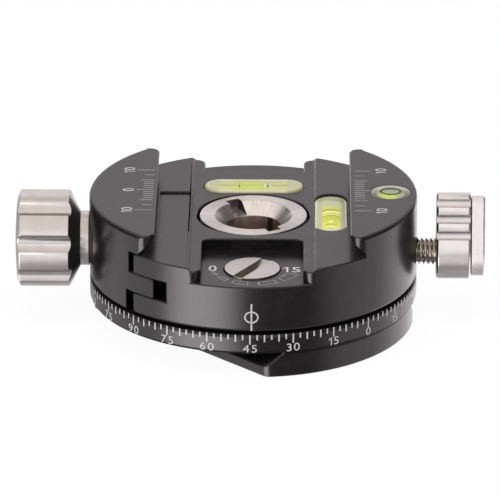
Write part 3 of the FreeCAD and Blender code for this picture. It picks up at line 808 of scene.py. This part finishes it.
ARC_R = 7.5             # the crescent's middle line
ARC_SHIFT = Vector((0.22, 0.7, 0))  # of its centre from the dial's axis
ARC_LINE = 0.13
ARC_SEGMENTS = ((201, 12), (223, 16), (252, 22), (290, 25), (325, 27))
ARC_THICK_START, ARC_THICK_GROWTH = 0.45, 0.33


def dial_point(radius, degrees):
    a = math.radians(degrees)
    return Vector((DIAL.x + radius * math.cos(a), DIAL.y + radius * math.sin(a), 0)) + ARC_SHIFT


def dial_segment(bm, turn, span, thick_start, thick_end):
    """One outlined segment of the growing crescent, as a thin closed ribbon."""
    steps = 10
    rim = []
    for side in (-1, 1):
        for i in range(steps + 1):
            share = i / steps if side < 0 else 1 - i / steps
            half = (thick_start + (thick_end - thick_start) * share) / 2
            rim.append(dial_point(ARC_R + side * half, turn + span * (share - 0.5)))
    centre = sum(rim, Vector()) / len(rim)
    inner = [p + (centre - p).normalized() * ARC_LINE for p in rim]
    ribbon(bm, rim, inner, POCKET_FLOOR + PAINT / 2, POCKET_FLOOR + 2 * PAINT)


DIAL_FIGURES = (("0", -7.12, -0.9, (1.45, 2.5)), ("15", 7.08, -1.3, (1.7, 2.4)))


def dial_marks():
    """The strength marks on the pocket's floor, from 0 round the front to 15."""
    bm = bmesh.new()
    for i, (angle, span) in enumerate(ARC_SEGMENTS):
        start = ARC_THICK_START + ARC_THICK_GROWTH * i
        dial_segment(bm, angle, span, start, start + ARC_THICK_GROWTH)
    painted("dial_strength_arc", bm, "platform", FAINT_MARK)
    figures = bmesh.new()
    for text, x, y, size in DIAL_FIGURES:
        def place(p, x=x, y=y):
            return Vector((DIAL.x + x + p.x, DIAL.y + y + p.y, POCKET_FLOOR + PAINT + p.z))
        merge(figures, digits(text, size), place)
    painted("dial_figures", figures, "platform")


# ---- levels ----
FILM = 0.004            # one printed or moulded layer on a vial's top
CLEAR_ROUGH = (0.1, 0.18)


def plate(bm, loop, z, thick=FILM):
    """A thin plate over a closed loop."""
    lofted(bm, [[Vector((p.x, p.y, h)) for p in loop] for h in (z, z + thick)])


def layer(name, bm, material, *stands_for, slot="level_liquid", smooth=35.0):
    """A piece of a level, which the platform carries."""
    dress(solid(name, bm, smooth), "platform", slot, material, *stands_for)


def place_along(tree, axis, centre, wobble):
    """Millimetres from a vial's middle along X or Y, a little uneven."""
    point = object_point(tree)
    where = separate(tree, point)[axis.upper()]
    offset = math_node(tree, "SUBTRACT", where, float(centre[axis == "y"]))
    uneven = math_node(tree, "MULTIPLY", noise(tree, point, 0.9, 2.0), 2 * wobble)
    return math_node(tree, "ADD", math_node(tree, "SUBTRACT", offset, wobble), uneven)


def stripes(tree, value, stops):
    """Colours that change along a value; stops are (millimetres, colour), lowest first."""
    low, high = stops[0][0], stops[-1][0]
    share = shader_node(tree, "MapRange", {"From Min": low, "From Max": high, "Value": value})
    made = shader_node(tree, "ValToRGB", {"Fac": share.outputs["Result"]})
    band = made.color_ramp.elements
    for i, (place, colour) in enumerate(stops):
        position = (place - low) / (high - low)
        stop = band[i] if i < 2 else band.new(position)
        stop.position = position
        stop.color = rgba(colour)
    return made.outputs["Color"]


def blended(tree, factor, first, second):
    """Mixes two colours by a factor."""
    made = shader_node(tree, "Mix", {"Factor": factor}, data_type="RGBA")
    sockets = [socket for socket in made.inputs if socket.type == "RGBA"]
    for socket, colour in zip(sockets, (first, second)):
        if isinstance(colour, tuple):
            socket.default_value = rgba(colour)
        else:
            tree.links.new(colour, socket)
    return [socket for socket in made.outputs if socket.type == "RGBA"][0]


def clear_finish(name, colour, centre):
    """Polished clear plastic with what shows through it; colour builds the colour's nodes."""
    material, tree, shader = new_material(name)
    rough = ramp(tree, noise(tree, object_point(tree), 1.1), *CLEAR_ROUGH)
    feed(tree, shader, {"Base Color": colour(tree, centre), "Roughness": rough})
    return material


def greys(*levels):
    """(millimetres, level) pairs as colour stops."""
    return tuple((place, (level, level, level)) for place, level in levels)


BEIGE, BEIGE_DARK = (0.50, 0.47, 0.33), (0.25, 0.24, 0.09)
PALE, PALE_GREEN = (0.42, 0.42, 0.20), (0.39, 0.43, 0.15)
GREEN, GREEN_DARK = (0.38, 0.46, 0.05), (0.30, 0.37, 0.02)
END_PIECE = (0.35, 0.355, 0.21)
# painted highlight along a vial's rim
RIM_HIGHLIGHT = (0.47, 0.49, 0.36)


def bridge_colour(tree, centre):
    """Long stripes along the barrel, greenest in the bubble's place, pale at the ends."""
    v = place_along(tree, "y", centre, 0.12)
    u = place_along(tree, "x", centre, 0.25)
    pale = stripes(tree, v, ((-2.9, BEIGE), (-2.5, PALE_GREEN), (-1.2, PALE),
                             (-0.5, BEIGE_DARK), (0.1, PALE), (1.0, PALE),
                             (1.3, BEIGE_DARK), (1.65, BEIGE), (2.9, BEIGE)))
    green = stripes(tree, v, ((-2.9, BEIGE), (-2.55, GREEN), (-0.8, GREEN),
                              (-0.3, GREEN_DARK), (0.2, PALE_GREEN), (1.0, GREEN),
                              (1.3, GREEN_DARK), (1.7, PALE_GREEN), (2.9, BEIGE)))
    middle = stripes(tree, u, greys((-5.2, 0.15), (-3.2, 0.75), (-2.5, 1.0), (0.9, 1.0),
                                    (2.4, 0.35), (5.0, 0.2)))
    ends = stripes(tree, u, greys((-6.9, 1.0), (-6.0, 0.0), (6.0, 0.0), (6.3, 1.0)))
    return blended(tree, ends, blended(tree, middle, pale, green), END_PIECE)


def side_colour(tree, centre):
    """A yellow-green barrel between pale walls, paler and warmer towards the back, with painted
    highlight at the rims.
    """
    v = place_along(tree, "x", centre, 0.1)
    u = place_along(tree, "y", centre, 0.3)
    liquid = stripes(tree, u, ((-8.6, RIM_HIGHLIGHT), (-7.5, RIM_HIGHLIGHT), (-6.8, (0.50, 0.52, 0.12)),
                               (-5.4, (0.56, 0.60, 0.06)), (-3.4, (0.46, 0.49, 0.03)),
                               (-1.6, (0.42, 0.44, 0.02)), (0.6, (0.46, 0.49, 0.03)),
                               (2.6, (0.45, 0.47, 0.06)), (3.9, (0.45, 0.48, 0.12)),
                               (4.6, (0.40, 0.42, 0.22)), (7.4, (0.39, 0.40, 0.25)),
                               (8.4, RIM_HIGHLIGHT)))
    wall = stripes(tree, v, ((-3.0, RIM_HIGHLIGHT), (-2.75, RIM_HIGHLIGHT), (-2.5, END_PIECE),
                             (-1.9, (0.34, 0.355, 0.22)), (1.9, (0.33, 0.345, 0.21)),
                             (2.5, END_PIECE), (2.75, RIM_HIGHLIGHT)))
    barrel = stripes(tree, v, greys((-1.85, 0.0), (-1.35, 1.0), (1.5, 1.0), (1.95, 0.0)))
    return blended(tree, barrel, wall, liquid)


def arc_strip(bm, centre, z, y, half, rise, thick):
    """A thin bowed strip across the barrel: a circle of its round wall seen from above."""
    steps = 12
    points = []
    for side in (-1, 1):
        for i in range(steps + 1):
            share = (2 * i / steps - 1) * -side
            along = y - rise * share ** 2 + side * thick / 2
            points.append(Vector((centre.x + half * share, centre.y + along, 0)))
    plate(bm, points, z)


# (place along the barrel, half width, rise of the bow, thickness)
SIDE_DARK_ARCS = ((2.5, 1.6, 0.9, 0.42), (-0.3, 1.45, 0.9, 0.3), (-4.7, 1.1, 0.7, 0.4))
SIDE_LIGHT_ARCS = ((1.55, 1.6, 0.9, 0.75), (0.2, 1.45, 0.9, 0.35), (-3.3, 0.4, 0.1, 0.9),
                   (-5.7, 1.1, 0.6, 0.5))
BRIDGE_DOTS = (-2.7, 2.56)
BRIDGE_DOT = (0.17, 0.36)
BRIDGE_DOT_V = -0.8
BRIDGE_LINE = 0.06      # half the width of the lines round the tube
BRIDGE_LINE_ENDS = (-2.2, 0.9)
BRIDGE_GLINTS = ((2.0, 0.17, 0.8), (2.98, 0.13, 0.6))
VIAL_CROWN = {"bridge": ((0.0, 0.5), (0.03, 0.34), (0.12, 0.17), (0.28, 0.06), (0.5, 0.0)),
              "side": ((0.0, 0.2), (0.03, 0.1), (0.09, 0.03), (0.2, 0.0))}
RIM_HIGHLIGHT_INSETS = {"bridge": (0.52, 0.74), "side": (0.22, 0.46)}  # insets from the edge of the painted rim highlight's ring


def tube_body(prefix, along, colour):
    """The acrylic body with a softly rounded top edge; returns its middle and top."""
    node = prefix + "_level_vial"
    low, high = box_mm(node)
    centre = (low + high) / 2
    material = clear_finish(prefix + "_vial_finish", colour, centre)
    width, length = sorted((high.x - low.x, high.y - low.y))
    flat = high.z - SKIN
    bm, rim_highlight = bmesh.new(), bmesh.new()
    profile = [(0, low.z)] + [(inset, flat - drop) for inset, drop in VIAL_CROWN[prefix]]
    lofted(bm, [stadium(centre, length, width, inset, z, along) for inset, z in profile])
    # a thin ring of painted highlight inside the vial's edge
    rims = [stadium(centre, length, width, inset, flat, along) for inset in RIM_HIGHLIGHT_INSETS[prefix]]
    ribbon(rim_highlight, *rims, flat, flat + FILM)
    layer(prefix + "_level_rim_highlight", rim_highlight, RIM_HIGHLIGHT_FINISH, slot="clear_acrylic")
    layer(prefix + "_level_body", bm, material, node, slot="clear_acrylic", smooth=50)
    return centre, flat


def side_level():
    centre, top = tube_body("side", "y", side_colour)
    dark, light = bmesh.new(), bmesh.new()
    for arcs, bm, z in ((SIDE_LIGHT_ARCS, light, top), (SIDE_DARK_ARCS, dark, top + FILM)):
        for arc in arcs:
            arc_strip(bm, centre, z, *arc)
    layer("side_level_bubble_glints", light, ARC_LIGHT)
    layer("side_level_bubble_edges", dark, ARC_DARK, "side_level_fluid")


def bridge_level():
    centre, top = tube_body("bridge", "x", bridge_colour)
    dots, light, lines = bmesh.new(), bmesh.new(), bmesh.new()
    for u in BRIDGE_DOTS:
        plate(dots, oval(centre + Vector((u, BRIDGE_DOT_V, 0)), *BRIDGE_DOT), top + FILM)
        flat_bar(lines, (centre.x + u - BRIDGE_LINE, centre.x + u + BRIDGE_LINE),
                 [centre.y + v for v in BRIDGE_LINE_ENDS], (top, top + FILM / 2))
    for u, *size in BRIDGE_GLINTS:
        plate(light, oval(centre + Vector((u, BRIDGE_DOT_V, 0)), *size), top)
    layer("bridge_level_ring_dots", dots, RING_MARK)
    layer("bridge_level_glints", light, ACRYLIC_LIGHT)
    layer("bridge_level_ring_lines", lines, ARC_DARK, "bridge_level_fluid")


EYE_GAP = 0.06          # shadow gap round the round level
EYE_SIDES = 48
EYE_CROWN = ((0.0, 0.12), (0.04, 0.04), (0.12, 0.0))  # (inset, drop) of its top edge
EYE_WINDOW_R, EYE_WINDOW_Y = 2.62, -0.6
EYE_RING_R, EYE_RING_Y = 1.96, 0.62
EYE_RING_FLAT = 0.92
EYE_LINE = 0.38
EYE_LINE_FLAT = 1.5       # the line is this much wider in front and behind
# painted shade behind the round level's bubble
EYE_BACK_SHADE = (0.045, 0.06, 0.03)


def eye_body_colour(tree, centre):
    """Clear acrylic over black metal, dark in front; beige painted light at the back, where its lit
    wall shows.
    """
    v = place_along(tree, "y", centre, 0.3)
    return stripes(tree, v, ((-3.8, (0.06, 0.055, 0.05)), (-0.5, (0.10, 0.095, 0.08)),
                             (1.0, (0.20, 0.195, 0.16)), (2.0, (0.31, 0.30, 0.24)),
                             (3.0, (0.37, 0.35, 0.27)), (3.8, (0.44, 0.40, 0.31))))


def eye_liquid_colour(tree, centre):
    """Lime with painted light in front of the bubble, grey-green at its sides, painted shade
    behind.
    """
    v = place_along(tree, "y", centre, 0.35)
    u = place_along(tree, "x", centre, 0.5)
    lime = stripes(tree, u, ((-2.4, (0.22, 0.25, 0.10)), (-1.4, (0.38, 0.43, 0.06)),
                             (0.3, (0.40, 0.45, 0.06)), (1.4, (0.24, 0.29, 0.09)),
                             (2.5, (0.20, 0.23, 0.12))))
    back = stripes(tree, v, greys((-0.6, 0.0), (1.6, 1.0)))
    return blended(tree, back, lime, EYE_BACK_SHADE)


def eye_bubble_colour(tree, centre):
    """The bubble: lime below, with painted shade over its upper half."""
    v = place_along(tree, "y", centre, 0.5)
    return stripes(tree, v, ((-0.9, (0.20, 0.25, 0.10)), (0.4, (0.22, 0.28, 0.14)),
                             (1.2, (0.14, 0.18, 0.11)), (2.4, (0.06, 0.08, 0.05))))


def round_level():
    """The round level: acrylic body, liquid with a bubble, and the bubble's black edge."""
    low, high = box_mm("round_level_vial")
    centre = (low + high) / 2
    radius = (high.x - low.x) / 2 - EYE_GAP
    top = high.z - SKIN
    bm = bmesh.new()
    profile = [(radius, low.z)] + [(radius - inset, top - drop) for inset, drop in EYE_CROWN]
    lofted(bm, [oval(centre, r, r, z, EYE_SIDES) for r, z in profile])
    layer("round_level_body", bm, clear_finish("round_vial_finish", eye_body_colour, centre),
          "round_level_vial", slot="clear_acrylic")
    liquid = bmesh.new()
    window = centre + Vector((0, EYE_WINDOW_Y, 0))
    plate(liquid, oval(window, EYE_WINDOW_R, EYE_WINDOW_R, steps=EYE_SIDES), top, FILM / 2)
    layer("round_level_liquid", liquid,
          clear_finish("round_liquid_finish", eye_liquid_colour, centre), "round_level_fluid")
    place = centre + Vector((0, EYE_RING_Y, 0))
    bubble, ring = bmesh.new(), bmesh.new()
    reach = EYE_RING_R * EYE_RING_FLAT
    loops = [oval(place, EYE_RING_R, reach, steps=EYE_SIDES),
             oval(place, EYE_RING_R - EYE_LINE, reach - EYE_LINE * EYE_LINE_FLAT, steps=EYE_SIDES)]
    plate(bubble, loops[0], top + FILM / 2, FILM / 2)
    ribbon(ring, *loops, top + FILM, top + 2 * FILM)
    layer("round_level_bubble", bubble,
          clear_finish("round_bubble_finish", eye_bubble_colour, centre))
    layer("round_level_ring", ring, RING_MARK)


# ---- studio ----
CAMERA_AZIMUTH = 0.5    # degrees from the front towards +X
CAMERA_ELEVATION = 21.852
CAMERA_ROLL = 0.1
CAMERA_DISTANCE = 1072.8
AIM_Z = 15.5
LENS = 421.3
SENSOR = 36.0
SHIFT = (-0.0066, -0.0269)
CLIP = (0.05, 20.0)     # metres


def camera():
    data = bpy.data.cameras.new("camera")
    data.lens = LENS
    data.sensor_width = SENSOR
    data.shift_x, data.shift_y = SHIFT
    data.clip_start, data.clip_end = CLIP
    holder = linked("camera", data)
    back = Vector(direction(CAMERA_AZIMUTH, CAMERA_ELEVATION))
    holder.location = (Vector((0, 0, AIM_Z)) + back * CAMERA_DISTANCE) * MM
    roll = Matrix.Rotation(math.radians(CAMERA_ROLL), 3, "Z")
    holder.rotation_euler = (back.to_track_quat("Z", "Y").to_matrix() @ roll).to_euler()
    bpy.context.scene.camera = holder


# name, azimuth, elevation, size in metres, power, colour
PANELS = (("overhead_panel", 0, 70, (0.5, 0.4), 3.2, (1.0, 1.0, 1.0)),
          ("left_panel", -60, 35, (0.3, 0.3), 1.0, (1.0, 0.97, 0.94)))
PANEL_DISTANCE = 0.6    # metres


def panel(name, azimuth, elevation, size, power, colour):
    """A soft panel that faces the head and shows in nothing."""
    data = bpy.data.lights.new(name, "AREA")
    data.shape = "RECTANGLE"
    data.size, data.size_y = size
    data.energy = power
    data.color = colour
    light = linked(name, data)
    out = Vector(direction(azimuth, elevation))
    light.location = out * PANEL_DISTANCE + Vector((0, 0, AIM_Z * MM))
    light.rotation_euler = out.to_track_quat("Z", "Y").to_euler()
    light.visible_camera = False
    light.visible_glossy = False


FILL = 0.62             # light that plain surfaces get from all round
WARM = (1.0, 0.925, 0.955)
LAMP_WARM = (1.0, 0.895, 0.85)
WARM_HEIGHTS = (28, 55)  # the light turns warmer between these elevations
FIRST_BOUNCE = 1.5          # Glossy Depth is under this for a first reflection
SECOND_BOUNCE = 0.3     # how bright the room is where one reflection shows in another
ROOM = 0.10             # the room's sides, in reflections
TABLE = 1.1             # the white table all round, below the horizon
TABLE_HEIGHTS = (-16, -4)   # its far edge fades between these elevations
# azimuth, elevation, inner and outer reach in degrees, level
SHADOWS = ((15, -25, 22, 46, 0.9),      # the dark front
           (0, -85, 30, 60, 0.72),      # under the head
           (-148, -25, 12, 34, 0.55))   # behind the clamp knob
LIGHTS = ((180, 16, 18, 44, 0.7),       # white behind
          (136, -20, 12, 36, 0.6),      # panel on the right
          (-30, 60, 46, 62, 0.85),      # soft box above
          (180, 52, 16, 36, 0.3),       # its glow behind
          (0, 10, 14, 32, 0.4),         # the room in front
          (-36, -20, 5, 32, 5.4))       # window


def direction(azimuth, elevation):
    """Unit vector; azimuth 0 is the front, 90 is towards +X."""
    a, e = math.radians(azimuth), math.radians(elevation)
    return (math.sin(a) * math.cos(e), -math.cos(a) * math.cos(e), math.sin(e))


def ranged(tree, value, span, to=(0.0, 1.0)):
    """A smooth change from one level to another."""
    inputs = {"Value": value, "From Min": span[0], "From Max": span[1],
              "To Min": to[0], "To Max": to[1]}
    made = shader_node(tree, "MapRange", inputs, interpolation_type="SMOOTHSTEP")
    return made.outputs["Result"]


def rises(heights):
    """The upright parts of unit vectors at these elevations."""
    return [math.sin(math.radians(height)) for height in heights]


def lit_patch(tree, vector, azimuth, elevation, inner, outer, light):
    """light within inner degrees of a direction, 0 beyond outer."""
    closeness = shader_node(tree, "VectorMath", {0: vector, 1: direction(azimuth, elevation)},
                            operation="DOT_PRODUCT").outputs["Value"]
    reach = [math.cos(math.radians(angle)) for angle in (outer, inner)]
    return math_node(tree, "MULTIPLY", ranged(tree, closeness, reach), light)


def studio_level(tree):
    """What metal and gloss reflect: a white table with shadows, a dim room and its lights."""
    where = shader_node(tree, "TexCoord", {}).outputs["Generated"]
    table = ranged(tree, separate(tree, where)["Z"], rises(TABLE_HEIGHTS), (TABLE, 0.0))
    for shadow in SHADOWS:
        left = math_node(tree, "SUBTRACT", 1.0, lit_patch(tree, where, *shadow))
        table = math_node(tree, "MULTIPLY", table, left)
    level = math_node(tree, "ADD", table, ROOM)
    for place in LIGHTS:
        level = math_node(tree, "ADD", level, lit_patch(tree, where, *place))
    return level


def second_bounce(tree, path):
    """1 for a first reflection, less for what shows inside another reflection."""
    first = math_node(tree, "LESS_THAN", path["Glossy Depth"], FIRST_BOUNCE)
    rise = math_node(tree, "MULTIPLY", first, 1.0 - SECOND_BOUNCE)
    return math_node(tree, "ADD", rise, SECOND_BOUNCE)


def studio_tint(tree):
    """The room is a little pink, and its lamps above are warmer."""
    where = shader_node(tree, "TexCoord", {}).outputs["Generated"]
    high = ranged(tree, separate(tree, where)["Z"], rises(WARM_HEIGHTS))
    return blended(tree, high, WARM, LAMP_WARM)


def mirrored(tree, path):
    """1 where the ray comes off metal or goes through glass."""
    return math_node(tree, "MAXIMUM", path["Is Glossy Ray"], path["Is Transmission Ray"])


def world():
    """The camera sees plain white, and plain surfaces get an even light."""
    studio = bpy.data.worlds.new("studio")
    bpy.context.scene.world = studio
    studio.use_nodes = True
    tree = studio.node_tree
    path = shader_node(tree, "LightPath", {}).outputs
    glossy_ray = mirrored(tree, path)
    level = math_node(tree, "MULTIPLY", studio_level(tree), second_bounce(tree, path))
    seen = math_node(tree, "MULTIPLY", glossy_ray, level)
    rest = math_node(tree, "SUBTRACT", 1.0, glossy_ray)
    lit = math_node(tree, "ADD", seen, math_node(tree, "MULTIPLY", rest, FILL))
    strength = math_node(tree, "MAXIMUM", lit, path["Is Camera Ray"])
    colour = blended(tree, path["Is Camera Ray"], studio_tint(tree), (1.0, 1.0, 1.0))
    feed(tree, tree.nodes["Background"], {"Strength": strength, "Color": colour})


FLOOR_HALF = 1.5        # metres
FLOOR_WHITE = 0.95      # share of plain white in what the camera sees
FLOOR_GREY = 0.8


def floor():
    """A white table that keeps a faint shadow of the head."""
    mesh = bpy.data.meshes.new("table")
    corners = [(x * FLOOR_HALF, y * FLOOR_HALF, 0) for x, y in ((-1, -1), (1, -1), (1, 1), (-1, 1))]
    mesh.from_pydata(corners, [], [(0, 1, 2, 3)])
    table = linked("table", mesh)
    material, tree, shader = new_material("table_white")
    tree.nodes.remove(shader)
    path = shader_node(tree, "LightPath", {}).outputs
    seen = math_node(tree, "MAXIMUM", path["Is Camera Ray"], mirrored(tree, path))
    plain = shader_node(tree, "BsdfDiffuse", {"Color": rgba(FLOOR_GREY)}).outputs["BSDF"]
    white = shader_node(tree, "Emission", {}).outputs["Emission"]
    mix = shader_node(tree, "MixShader", {0: math_node(tree, "MULTIPLY", seen, FLOOR_WHITE),
                                          1: plain, 2: white})
    feed(tree, tree.nodes["Material Output"], {"Surface": mix.outputs["Shader"]})
    mesh.materials.append(material)
    table.visible_glossy = False


# ---- the whole scene ----
finish_hidden_nodes()
machined_pieces()
springs()
lock_screw()
scale_ring_marks()
front_index()
jaw_scale(-1, "jaw", ((10, "10"), (0, "0"), (-10, "10")))
jaw_scale(1, "platform", ((10, "10"), (-10, "10")))
dial_marks()
side_level()
bridge_level()
round_level()
camera()
for row in PANELS:
    panel(*row)
world()
floor()
bpy.context.scene.view_settings.view_transform = "Standard"
